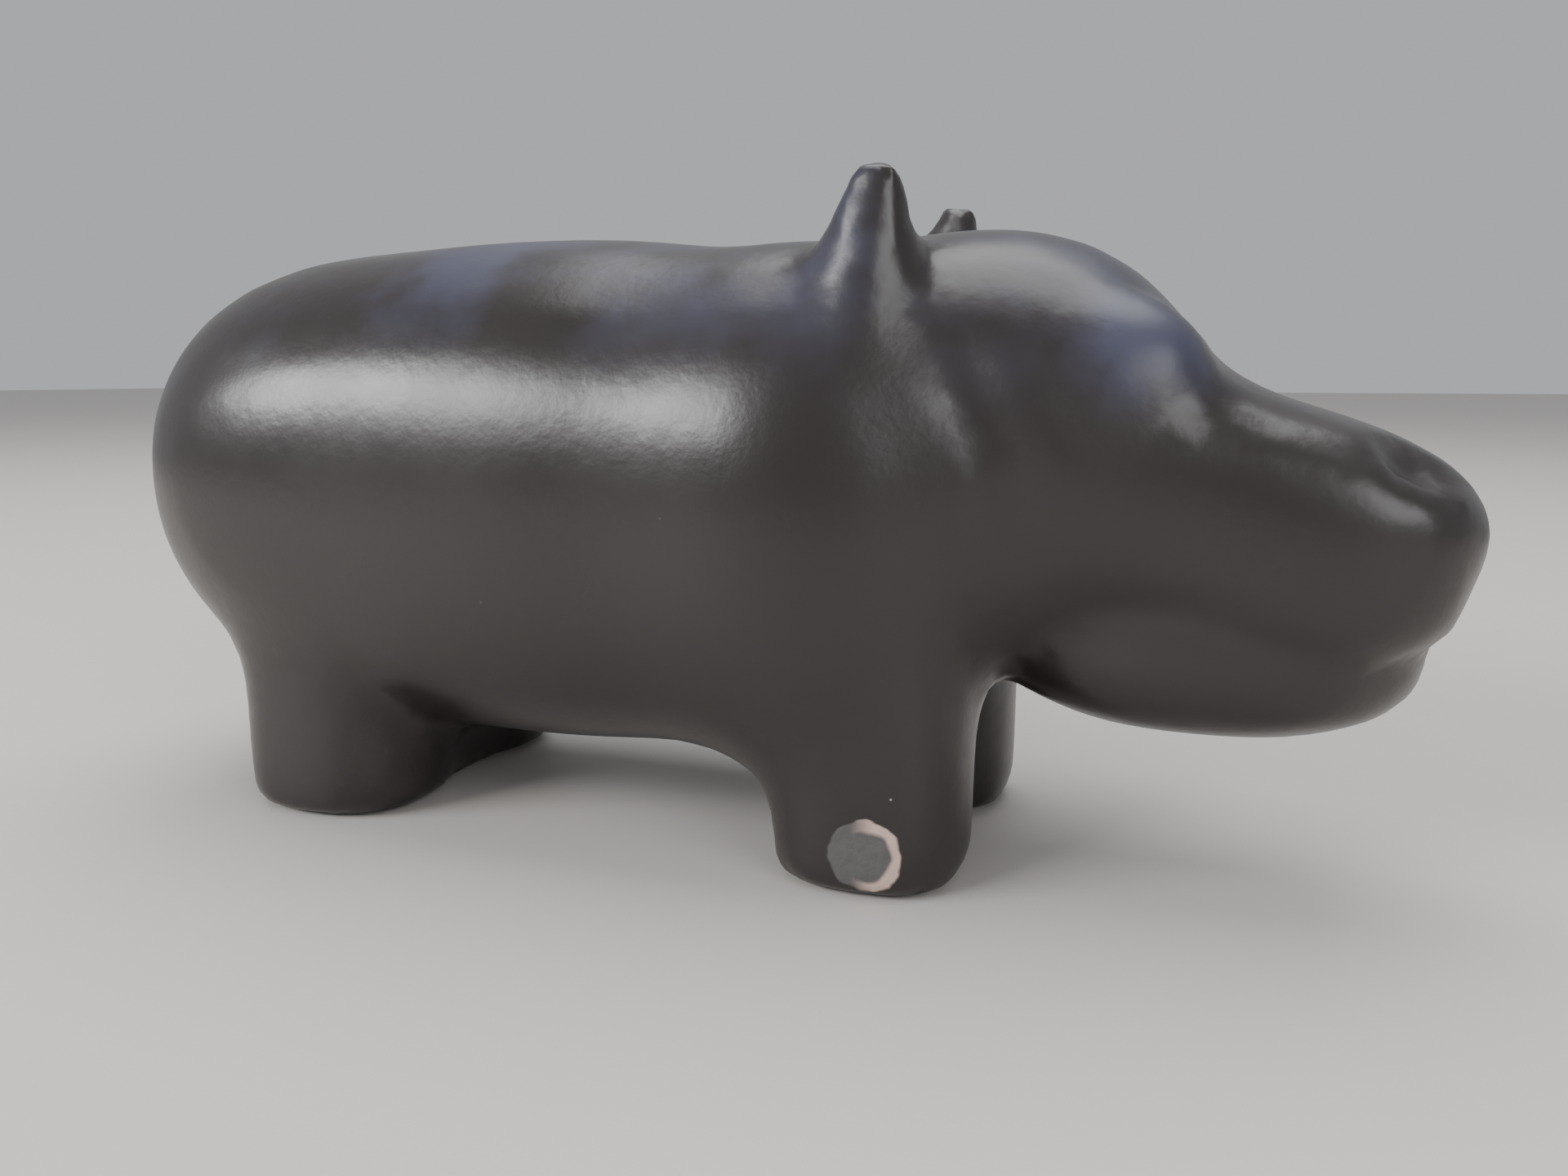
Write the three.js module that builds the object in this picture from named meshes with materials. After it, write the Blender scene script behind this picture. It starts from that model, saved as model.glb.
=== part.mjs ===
// Glazed ceramic hippo figurine, one closed body, in millimetres.
// X runs from tail to nose, Y across, Z up; the soles stand on Z = 0.
import * as THREE from 'three';

// Driving dimensions
const BACK_HEIGHT = 58.6;
const BELLY_HEIGHT = 7.2;
const BODY_HALF_WIDTH = 24.5;
const RUMP_X = -68.5;
const NOSE_X = 62.8;
const EAR_X = 15.6;
const EAR_SIDE = 15.6;
const EAR_TIP_HEIGHT = 63.4;
const FRONT_LEG_X = 15;
const HIND_LEG_X = -43.5;
const LEG_SIDE = 11.4;
const SOLE_ROUNDING = 2.6;
const EYE = { x: 37.5, side: 13.2, z: 46 };
const MIDLINE_SOFTNESS = 1.2;

// Grid spacing of the faceted surface, fine at the head and coarse on the body
const FINE_STEP = 2.3;
const COARSE_STEP = 3.5;
const HEAD_START_X = 8;
const SURFACE_STEPS = 6;

// Smooth joins and cuts of two distances, over a band of the given width
function join(a, b, width) {
  const h = Math.max(width - Math.abs(a - b), 0) / width;
  return Math.min(a, b) - h * h * h * width / 6;
}

function cut(a, b, width) {
  return -join(-a, b, width);
}

function turned(a, b, degrees) {
  const angle = THREE.MathUtils.degToRad(degrees);
  const c = Math.cos(angle);
  const s = Math.sin(angle);
  return [c * a + s * b, -s * a + c * b];
}

// Rounded block: roundness 2 is an ellipsoid, more is boxier; pitch lifts its front
function lump(p, centre, radii, roundness = 2, pitch = 0) {
  let [u, w] = turned(p.x - centre[0], p.z - centre[2], pitch);
  const v = p.y - centre[1];
  const a = Math.abs(u) / radii[0] + 1e-9;
  const b = Math.abs(v) / radii[1] + 1e-9;
  const c = Math.abs(w) / radii[2] + 1e-9;
  const size = (a ** roundness + b ** roundness + c ** roundness) ** (1 / roundness);
  const slope = Math.hypot(
    (a / size) ** (roundness - 1) / radii[0],
    (b / size) ** (roundness - 1) / radii[1],
    (c / size) ** (roundness - 1) / radii[2],
  );
  return (size - 1) / slope;
}

// Rod from one point to another whose radius changes evenly
function limb(p, start, end, startRadius, endRadius) {
  const d = [end[0] - start[0], end[1] - start[1], end[2] - start[2]];
  const q = [p.x - start[0], p.y - start[1], p.z - start[2]];
  const along = (q[0] * d[0] + q[1] * d[1] + q[2] * d[2]) / (d[0] ** 2 + d[1] ** 2 + d[2] ** 2);
  const t = THREE.MathUtils.clamp(along, 0, 1);
  const radius = startRadius + (endRadius - startRadius) * t;
  return Math.hypot(q[0] - t * d[0], q[1] - t * d[1], q[2] - t * d[2]) - radius;
}

// Groove with a round section that follows a chain of points
function groove(p, points, radius) {
  let nearest = Infinity;
  for (let i = 1; i < points.length; i += 1) {
    nearest = Math.min(nearest, limb(p, points[i - 1], points[i], radius, radius));
  }
  return nearest;
}

function trunk(p) {
  const middle = (BACK_HEIGHT + BELLY_HEIGHT) / 2;
  const halfHeight = (BACK_HEIGHT - BELLY_HEIGHT) / 2 - 0.4;
  const barrel = lump(p, [-22, 0, middle], [44, BODY_HALF_WIDTH, halfHeight], 2.4);
  const rump = lump(p, [RUMP_X + 22, 0, 34.5], [22, 22.5, 21.5], 2.1);
  const shoulder = lump(p, [8, 8, 32], [17, 16, 24], 2.1);
  return join(join(barrel, rump, 8), shoulder, 10);
}

function legs(p) {
  const front = lump(p, [FRONT_LEG_X, LEG_SIDE, 8], [9, 8.4, 22], 2.5);
  const hind = lump(p, [HIND_LEG_X, LEG_SIDE, 8], [10, 8.4, 22], 2.5);
  const web = lump(p, [HIND_LEG_X - 0.5, 0, 6], [9, 14, 13], 3);
  return { front, hind: join(hind, web, 5) };
}

function head(p) {
  const cranium = lump(p, [22, 0, 38], [20.4, 19, 19.8], 2.2);
  const muzzle = lump(p, [NOSE_X - 17.6, 0, 33.2], [18.6, 15.5, 10.2], 3.2, -17);
  const jaw = lump(p, [NOSE_X - 20.5, 0, 22], [18.4, 13.2, 8.6], 2.4);
  const brow = lump(p, [EYE.x - 2.5, EYE.side - 3.5, EYE.z - 1], [7, 6, 6], 2);
  const eye = lump(p, [EYE.x, EYE.side - 1.4, EYE.z - 1.2], [3.2, 3, 3], 2);
  let shape = join(cranium, muzzle, 9);
  shape = join(shape, jaw, 3);
  shape = join(shape, brow, 4);
  return join(shape, eye, 1.2);
}

function ear(p) {
  const leaf = limb(
    p,
    [EAR_X - 1.5, EAR_SIDE - 2.5, 50],
    [EAR_X + 0.3, EAR_SIDE, EAR_TIP_HEIGHT - 2],
    6,
    2,
  );
  const hollow = groove(
    p,
    [[EAR_X + 1.4, EAR_SIDE + 7, 46], [EAR_X + 1.4, EAR_SIDE + 2.6, EAR_TIP_HEIGHT - 3]],
    1.9,
  );
  return cut(leaf, hollow, 1.2);
}

// Signed distance to the whole figurine; the left half mirrors the right
function figurine(x, y, z) {
  const p = { x, y: Math.hypot(y, MIDLINE_SOFTNESS), z };
  const mouth = groove(
    p,
    [[61.5, 0, 22.6], [60, 9, 22.2], [54, 13.6, 21.5], [47, 15.4, 22.5], [43, 15.8, 26]],
    1.1,
  );
  const nostril = lump(p, [NOSE_X - 5, 10.5, 38.4], [3.2, 2.6, 2], 2, -17);
  const neckFold = groove(p, [[23, 20, 47], [27.5, 20.5, 38], [29, 19.5, 26]], 2);
  const limbs = legs(p);
  let shape = join(trunk(p), limbs.front, 8);
  shape = join(shape, limbs.hind, 7);
  shape = join(shape, head(p), 7);
  shape = cut(shape, neckFold, 4);
  shape = join(shape, ear(p), 3.5);
  shape = cut(shape, mouth, 1.6);
  shape = cut(shape, nostril, 2);
  // Chip on the outer face of one front foot, on the side of negative Y
  const chip = lump({ x, y, z }, [FRONT_LEG_X + 1.2, -LEG_SIDE - 11, 4.2], [3.9, 3.2, 3.6]);
  shape = cut(shape, chip, 0.5);
  return cut(shape, z, SOLE_ROUNDING);
}

function stations(from, to, stepAt) {
  const places = [from];
  while (places[places.length - 1] < to) {
    const last = places[places.length - 1];
    places.push(last + stepAt(last));
  }
  return places;
}

function gradient(x, y, z) {
  const e = 0.02;
  return [
    (figurine(x + e, y, z) - figurine(x - e, y, z)) / (2 * e),
    (figurine(x, y + e, z) - figurine(x, y - e, z)) / (2 * e),
    (figurine(x, y, z + e) - figurine(x, y, z - e)) / (2 * e),
  ];
}

// Moves a point onto the surface along the slope of the distance
function settle(point, reach) {
  const start = [...point];
  let q = [...point];
  for (let i = 0; i < SURFACE_STEPS; i += 1) {
    const g = gradient(...q);
    const length2 = Math.max(g[0] ** 2 + g[1] ** 2 + g[2] ** 2, 0.1);
    const d = figurine(...q);
    q = q.map((value, axis) => value - g[axis] * d / length2);
  }
  return q.map((value, axis) => THREE.MathUtils.clamp(value, start[axis] - reach, start[axis] + reach));
}

// One vertex in each grid cell that the surface crosses, one quad across each crossed grid edge
function surfaceMesh() {
  const stepX = (x) => (x < HEAD_START_X ? COARSE_STEP : FINE_STEP);
  const axes = [
    stations(RUMP_X - 4, NOSE_X + 4, stepX),
    stations(-30.1, 30.1, () => 2.8),
    stations(-3.9, EAR_TIP_HEIGHT + 4, () => 2.6),
  ];
  const [nx, ny, nz] = axes.map((a) => a.length);
  const at = (i, j, k) => (i * ny + j) * nz + k;
  const values = new Float64Array(nx * ny * nz);
  for (let i = 0; i < nx; i += 1) {
    for (let j = 0; j < ny; j += 1) {
      for (let k = 0; k < nz; k += 1) {
        values[at(i, j, k)] = figurine(axes[0][i], axes[1][j], axes[2][k]);
      }
    }
  }
  const inside = (i, j, k) => values[at(i, j, k)] < 0;
  const corners = [0, 1, 2, 3, 4, 5, 6, 7].map((n) => [n >> 2, (n >> 1) & 1, n & 1]);
  const edges = [];
  corners.forEach((a) => [0, 1, 2].forEach((axis) => {
    if (a[axis] === 0) {
      edges.push({ axis, a, b: a.map((value, n) => (n === axis ? 1 : value)) });
    }
  }));
  const faces = [0, 1, 2].flatMap((axis) => [0, 1].map((side) => ({ axis, side })));
  const edgeName = (axis, a) => `${axis}${a.join('')}`;
  const edgeVertex = new Map();
  const positions = [];

  // Sheets of the surface inside one cell: each is a ring of crossed edges
  function sheets(cell) {
    const sign = (a) => inside(cell[0] + a[0], cell[1] + a[1], cell[2] + a[2]);
    const crossed = edges.filter(({ a, b }) => sign(a) !== sign(b));
    const group = new Map(crossed.map((edge) => [edge, edge]));
    const root = (edge) => (group.get(edge) === edge ? edge : root(group.get(edge)));
    for (const { axis, side } of faces) {
      const onFace = crossed.filter(({ a, b }) => a[axis] === side && b[axis] === side);
      onFace.forEach((one) => onFace.forEach((other) => {
        const solidEnd = ({ a, b }) => (sign(a) ? a : b).join('');
        if (onFace.length === 2 || solidEnd(one) === solidEnd(other)) {
          group.set(root(one), root(other));
        }
      }));
    }
    const rings = new Map();
    crossed.forEach((edge) => {
      const key = root(edge);
      rings.set(key, [...(rings.get(key) ?? []), edge]);
    });
    return [...rings.values()];
  }

  for (let i = 0; i < nx - 1; i += 1) {
    for (let j = 0; j < ny - 1; j += 1) {
      for (let k = 0; k < nz - 1; k += 1) {
        const cell = [i, j, k];
        const signs = corners.filter((a) => inside(i + a[0], j + a[1], k + a[2])).length;
        if (signs === 0 || signs === corners.length) {
          continue;
        }
        for (const ring of sheets(cell)) {
          const sum = [0, 0, 0];
          ring.forEach(({ a, b }) => {
            const va = values[at(i + a[0], j + a[1], k + a[2])];
            const vb = values[at(i + b[0], j + b[1], k + b[2])];
            const t = va / (va - vb);
            for (let n = 0; n < 3; n += 1) {
              const pa = axes[n][cell[n] + a[n]];
              const pb = axes[n][cell[n] + b[n]];
              sum[n] += (pa + (pb - pa) * t) / ring.length;
            }
          });
          const q = settle(sum, 1.2);
          ring.forEach(({ axis, a }) => {
            edgeVertex.set(`${at(i, j, k)}:${edgeName(axis, a)}`, positions.length / 3);
          });
          positions.push(q[0], q[1], Math.abs(q[2]) < 0.05 ? 0 : q[2]);
        }
      }
    }
  }
  const triangles = [];
  const spot = (n) => new THREE.Vector3().fromArray(positions, n * 3);
  function quad(a, b, c, d) {
    if (spot(a).distanceTo(spot(c)) <= spot(b).distanceTo(spot(d))) {
      triangles.push(a, b, c, a, c, d);
    } else {
      triangles.push(a, b, d, b, c, d);
    }
  }
  for (let axis = 0; axis < 3; axis += 1) {
    const u = (axis + 1) % 3;
    const v = (axis + 2) % 3;
    for (let i = 1; i < nx - 1; i += 1) {
      for (let j = 1; j < ny - 1; j += 1) {
        for (let k = 1; k < nz - 1; k += 1) {
          const cell = [i, j, k];
          const next = cell.map((value, n) => value + (n === axis ? 1 : 0));
          if (inside(...cell) === inside(...next)) {
            continue;
          }
          const around = [[1, 1], [0, 1], [0, 0], [1, 0]].map(([du, dv]) => {
            const other = [...cell];
            other[u] -= du;
            other[v] -= dv;
            const start = [0, 0, 0];
            start[u] = du;
            start[v] = dv;
            return edgeVertex.get(`${at(...other)}:${edgeName(axis, start)}`);
          });
          if (!inside(...cell)) {
            around.reverse();
          }
          quad(...around);
        }
      }
    }
  }
  const geometry = new THREE.BufferGeometry();
  geometry.setAttribute('position', new THREE.Float32BufferAttribute(positions, 3));
  geometry.setIndex(triangles);
  geometry.computeBoundingBox();
  const box = geometry.boundingBox;
  geometry.translate(-(box.min.x + box.max.x) / 2, -(box.min.y + box.max.y) / 2, -box.min.z);
  geometry.computeVertexNormals();
  return geometry;
}

function makeHippo() {
  const glaze = new THREE.MeshStandardMaterial({ color: 0x211c1d, roughness: 0.32, metalness: 0 });
  glaze.name = 'glaze';
  const hippo = new THREE.Mesh(surfaceMesh(), glaze);
  hippo.name = 'hippo';
  return hippo;
}

const figurineGroup = new THREE.Group();
figurineGroup.name = 'hippo_figurine';
figurineGroup.add(makeHippo());

export default figurineGroup;
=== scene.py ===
# Looks of the glazed hippo figurine, in metres: smooth body, glaze, chipped foot, floor, light and camera
from math import radians

import bmesh
import bpy
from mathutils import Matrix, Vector


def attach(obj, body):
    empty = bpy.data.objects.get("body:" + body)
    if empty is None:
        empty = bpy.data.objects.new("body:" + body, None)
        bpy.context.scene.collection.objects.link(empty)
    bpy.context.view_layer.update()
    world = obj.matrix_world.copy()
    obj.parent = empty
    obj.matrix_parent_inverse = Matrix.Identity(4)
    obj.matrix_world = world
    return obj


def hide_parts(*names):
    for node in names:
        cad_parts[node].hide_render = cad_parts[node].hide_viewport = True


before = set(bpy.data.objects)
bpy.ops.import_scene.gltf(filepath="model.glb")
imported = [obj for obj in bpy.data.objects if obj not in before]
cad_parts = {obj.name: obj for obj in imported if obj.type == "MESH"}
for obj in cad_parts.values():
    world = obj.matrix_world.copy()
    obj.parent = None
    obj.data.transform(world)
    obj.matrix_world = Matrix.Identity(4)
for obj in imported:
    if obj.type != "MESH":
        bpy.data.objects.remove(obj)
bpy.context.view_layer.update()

MM = 0.001

# Where the figurine's own measuring point lies along the frame's X
SHIFT_X = 2.95 * MM

# Places on the figurine
CHIP_CENTRE = Vector((16.2 * MM + SHIFT_X, -20.6 * MM, 4.2 * MM))
CHIP_RADIUS = 3.4 * MM
CHIP_SOFT_EDGE = 0.25 * MM
CHIP_RAGGEDNESS = 1.1 * MM
CHIP_RIM_INNER = 1.0 * MM
CHIP_RIM_OUTER = 0.5 * MM
# Reach of the chip's painted shade on its left side and of its unshaded right side
CHIP_GREY_SIDE = 1.5 * MM
CHIP_PINK_SIDE = 1.0 * MM
EYE_CENTRE = Vector((37.5 * MM + SHIFT_X, -13.2 * MM, 46 * MM))
# Painted bluish sheen: a painted highlight around the eye and a painted reflection of the room on the
# upper back
EYE_PAINTED_SHEEN_INNER = 3 * MM
EYE_PAINTED_SHEEN_OUTER = 9 * MM
BACK_PAINTED_SHEEN_START = 40 * MM
BACK_PAINTED_SHEEN_FULL = 58 * MM

# Colours
GLAZE_BROWN = (0.017, 0.013, 0.0125, 1)
# Violet of the painted sheen, a painted reflection
PAINTED_SHEEN_VIOLET = (0.040, 0.042, 0.075, 1)
SPECK_WHITE = (0.62, 0.62, 0.60, 1)
# Grey of the chip's core, also used as painted shade on the chip's left side
CHIP_GREY_AND_PAINTED_SHADE = (0.085, 0.080, 0.080, 1)
CLAY_PINK = (0.52, 0.38, 0.33, 1)
FLOOR_PALE = (0.62, 0.59, 0.56, 1)
ROOM_LIGHT = (0.86, 0.87, 0.9, 1)

# Strengths of the glaze's effects
# Share of the painted highlight around the eye
EYE_PAINTED_SHEEN_SHARE = 0.8
GLAZE_ROUGHNESS = 0.22
ROUGHNESS_CHANGE = 0.16
# Extra roughness under the painted sheen
PAINTED_SHEEN_ROUGHNESS = 0.12
CLAY_ROUGHNESS = 0.5
GLAZE_IOR = 1.55
FINE_PEEL = 0.35
BROAD_PEEL = 0.65
CLAY_RELIEF = 6
PEEL_STRENGTH = 0.35
PEEL_DEPTH = 0.12 * MM
FLOOR_ROUGHNESS = 0.6

# Noise scales, per metre
CHIP_EDGE_SCALE = 420
# Size of the patches of the painted sheen
PAINTED_SHEEN_SCALE = 70
SPECK_SCALE = 160
SPECK_PATCH_SCALE = 60
ROUGHNESS_SCALE = 90
FINE_PEEL_SCALE = 1500
BROAD_PEEL_SCALE = 420
CLAY_SCALE = 900
NOISE_MIDDLE = 0.5

# Studio
FLOOR_HALF = 3.0
LIGHT_TARGET = (0, 0, 0.03)
ROOM_STRENGTH = 0.55
LIGHTS = (
    # name, place, size, power in watts
    ("window", (-0.55, -0.60, 0.42), (0.55, 0.22), 7),
    ("fill", (0.55, -0.45, 0.35), (0.4, 0.4), 2.0),
    ("top", (0.0, 0.15, 0.7), (0.6, 0.6), 4),
)

# Camera at the photograph's viewing angle
CAMERA_PLACE = Vector((43.6 * MM + SHIFT_X, -115 * MM, 45 * MM))
CAMERA_TURN = 20.0
CAMERA_DIP = 9.95
CAMERA_NEAR = 0.005
PHOTO_WIDTH = 1920
FOCAL_PIXELS = 1500
SENSOR_WIDTH = 36.0

WELD_DISTANCE = 0.001 * MM
SMOOTH_LEVEL = 1


class Value:
    """A socket's value; arithmetic on it adds Math nodes."""

    def __init__(self, nodes, socket):
        self.nodes = nodes
        self.socket = socket

    def math(self, operation, other):
        socket = self.nodes.make("ShaderNodeMath", {"operation": operation}, {0: self, 1: other})
        return Value(self.nodes, socket)

    def __add__(self, other):
        return self.math("ADD", other)

    def __mul__(self, other):
        return self.math("MULTIPLY", other)

    def __sub__(self, other):
        return self.math("SUBTRACT", other)

    def __rsub__(self, other):
        return (self * -1) + other

    def ramp(self, low, high):
        """0 below low and 1 above high, with a smooth change between them."""
        settings = {"interpolation_type": "SMOOTHSTEP"}
        values = {"Value": self, "From Min": low, "From Max": high}
        return Value(self.nodes, self.nodes.make("ShaderNodeMapRange", settings, values, "Result"))


class Nodes:
    """Makes the nodes of one material."""

    def __init__(self, name):
        self.material = bpy.data.materials.new(name)
        self.material.use_nodes = True
        self.tree = self.material.node_tree
        self.shader = self.tree.nodes["Principled BSDF"]
        self.place = self.make("ShaderNodeTexCoord", {}, {}, "Object")

    def make(self, kind, settings, values, output=0):
        """One node: its settings, then its sockets' values or links."""
        node = self.tree.nodes.new(kind)
        for name, setting in settings.items():
            setattr(node, name, setting)
        for name, value in values.items():
            value = getattr(value, "socket", value)
            if isinstance(value, bpy.types.NodeSocket):
                self.tree.links.new(value, node.inputs[name])
            else:
                node.inputs[name].default_value = value
        return node.outputs[output]

    def noise(self, scale, detail=2.0):
        values = {"Vector": self.place, "Scale": scale, "Detail": detail}
        return Value(self, self.make("ShaderNodeTexNoise", {}, values, "Fac"))

    def cells(self, scale):
        values = {"Vector": self.place, "Scale": scale}
        return Value(self, self.make("ShaderNodeTexVoronoi", {}, values, "Distance"))

    def distance(self, centre):
        settings = {"operation": "DISTANCE"}
        values = {0: self.place, 1: tuple(centre)}
        return Value(self, self.make("ShaderNodeVectorMath", settings, values, "Value"))

    def axis(self, name):
        values = {"Vector": self.place}
        return Value(self, self.make("ShaderNodeSeparateXYZ", {}, values, name))

    def blend(self, mask, first, second):
        """Colour that goes from first to second as mask goes from 0 to 1."""
        factor_socket, first_socket, second_socket, colour_output = 0, 6, 7, 2
        values = {factor_socket: mask, first_socket: first, second_socket: second}
        return self.make("ShaderNodeMix", {"data_type": "RGBA"}, values, colour_output)

    def feed(self, name, value):
        self.tree.links.new(getattr(value, "socket", value), self.shader.inputs[name])


def glaze_material():
    """Near-black satin glaze with a painted bluish sheen (a painted reflection and highlight), fine pits,
    white specks and an unglazed chip with painted shade on its left side.
    """
    nodes = Nodes("glaze")
    ragged = (nodes.noise(CHIP_EDGE_SCALE) - NOISE_MIDDLE) * CHIP_RAGGEDNESS
    chip_edge = nodes.distance(CHIP_CENTRE) + ragged
    chip = 1 - chip_edge.ramp(CHIP_RADIUS, CHIP_RADIUS + CHIP_SOFT_EDGE)
    rim = chip_edge.ramp(CHIP_RADIUS - CHIP_RIM_INNER, CHIP_RADIUS - CHIP_RIM_OUTER)
    # Painted shade: the chip's left side darker grey, its right side lighter
    unshaded_right_side = nodes.axis("X").ramp(CHIP_CENTRE.x - CHIP_GREY_SIDE, CHIP_CENTRE.x + CHIP_PINK_SIDE)

    # Painted sheen: a painted reflection rising towards the top of the back, and a painted highlight
    # around the eye, in random patches
    high = nodes.axis("Z").ramp(BACK_PAINTED_SHEEN_START, BACK_PAINTED_SHEEN_FULL)
    around_eye = 1 - nodes.distance(EYE_CENTRE).ramp(EYE_PAINTED_SHEEN_INNER, EYE_PAINTED_SHEEN_OUTER)
    patches = nodes.noise(PAINTED_SHEEN_SCALE, 6).ramp(0.42, 0.68)
    painted_sheen = (high + around_eye * EYE_PAINTED_SHEEN_SHARE) * patches

    specks = 1 - nodes.cells(SPECK_SCALE).ramp(0.020, 0.035)
    speck_patches = nodes.noise(SPECK_PATCH_SCALE).ramp(0.5, 0.6)

    # Glaze brown with the painted sheen laid over it
    colour = nodes.blend(painted_sheen, GLAZE_BROWN, PAINTED_SHEEN_VIOLET)
    colour = nodes.blend(specks * speck_patches, colour, SPECK_WHITE)
    # Chip: grey core and painted shade on the left, pink at the right rim
    clay_and_painted_shade = nodes.blend(rim * unshaded_right_side, CHIP_GREY_AND_PAINTED_SHADE, CLAY_PINK)
    nodes.feed("Base Color", nodes.blend(chip, colour, clay_and_painted_shade))

    roughness = nodes.noise(ROUGHNESS_SCALE, 4) * ROUGHNESS_CHANGE + GLAZE_ROUGHNESS
    nodes.feed("Roughness", roughness + painted_sheen * PAINTED_SHEEN_ROUGHNESS + chip * CLAY_ROUGHNESS)
    nodes.shader.inputs["IOR"].default_value = GLAZE_IOR

    peel = nodes.noise(FINE_PEEL_SCALE, 2) * FINE_PEEL + nodes.noise(BROAD_PEEL_SCALE, 3) * BROAD_PEEL
    height = peel + chip * nodes.noise(CLAY_SCALE, 5) * CLAY_RELIEF
    bump = {"Height": height, "Strength": PEEL_STRENGTH, "Distance": PEEL_DEPTH}
    nodes.feed("Normal", nodes.make("ShaderNodeBump", {}, bump, "Normal"))
    return nodes.material


def hippo_piece():
    """The CAD body with its facets smoothed."""
    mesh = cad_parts["hippo"].data.copy()
    mesh.name = "hippo_glazed"
    work = bmesh.new()
    work.from_mesh(mesh)
    bmesh.ops.remove_doubles(work, verts=work.verts, dist=WELD_DISTANCE)
    for face in work.faces:
        face.smooth = True
    work.to_mesh(mesh)
    work.free()
    for name in ("sharp_edge", "sharp_face", "custom_normal"):
        if name in mesh.attributes:
            mesh.attributes.remove(mesh.attributes[name])
    mesh.materials.clear()
    mesh.materials.append(glaze_material())
    piece = bpy.data.objects.new("hippo_glazed", mesh)
    bpy.context.scene.collection.objects.link(piece)
    smooth = piece.modifiers.new("smooth", "SUBSURF")
    smooth.levels = SMOOTH_LEVEL
    smooth.render_levels = SMOOTH_LEVEL
    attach(piece, "root")
    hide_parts("hippo")


def floor_material():
    nodes = Nodes("floor_pale")
    nodes.shader.inputs["Base Color"].default_value = FLOOR_PALE
    nodes.shader.inputs["Roughness"].default_value = FLOOR_ROUGHNESS
    return nodes.material


def floor_piece():
    mesh = bpy.data.meshes.new("floor")
    corners = [(x * FLOOR_HALF, y * FLOOR_HALF, 0) for x, y in ((-1, -1), (1, -1), (1, 1), (-1, 1))]
    mesh.from_pydata(corners, [], [(0, 1, 2, 3)])
    mesh.materials.append(floor_material())
    floor = bpy.data.objects.new("floor", mesh)
    bpy.context.scene.collection.objects.link(floor)


def soft_light(name, place, size, power):
    light = bpy.data.lights.new(name, "AREA")
    light.shape = "RECTANGLE"
    light.size, light.size_y = size
    light.energy = power
    lamp = bpy.data.objects.new(name, light)
    lamp.location = place
    aim = Vector(LIGHT_TARGET) - Vector(place)
    lamp.rotation_euler = aim.to_track_quat("-Z", "Y").to_euler()
    bpy.context.scene.collection.objects.link(lamp)


def studio():
    for name, place, size, power in LIGHTS:
        soft_light(name, place, size, power)
    world = bpy.data.worlds.new("studio")
    world.use_nodes = True
    background = world.node_tree.nodes["Background"]
    background.inputs["Color"].default_value = ROOM_LIGHT
    background.inputs["Strength"].default_value = ROOM_STRENGTH
    bpy.context.scene.world = world


def photo_camera():
    camera = bpy.data.cameras.new("photo_view")
    camera.sensor_width = SENSOR_WIDTH
    camera.lens = FOCAL_PIXELS / PHOTO_WIDTH * SENSOR_WIDTH
    camera.clip_start = CAMERA_NEAR
    holder = bpy.data.objects.new("photo_view", camera)
    holder.location = CAMERA_PLACE
    holder.rotation_euler = (radians(90 - CAMERA_DIP), 0, radians(CAMERA_TURN))
    bpy.context.scene.collection.objects.link(holder)
    bpy.context.scene.camera = holder


hippo_piece()
floor_piece()
studio()
photo_camera()
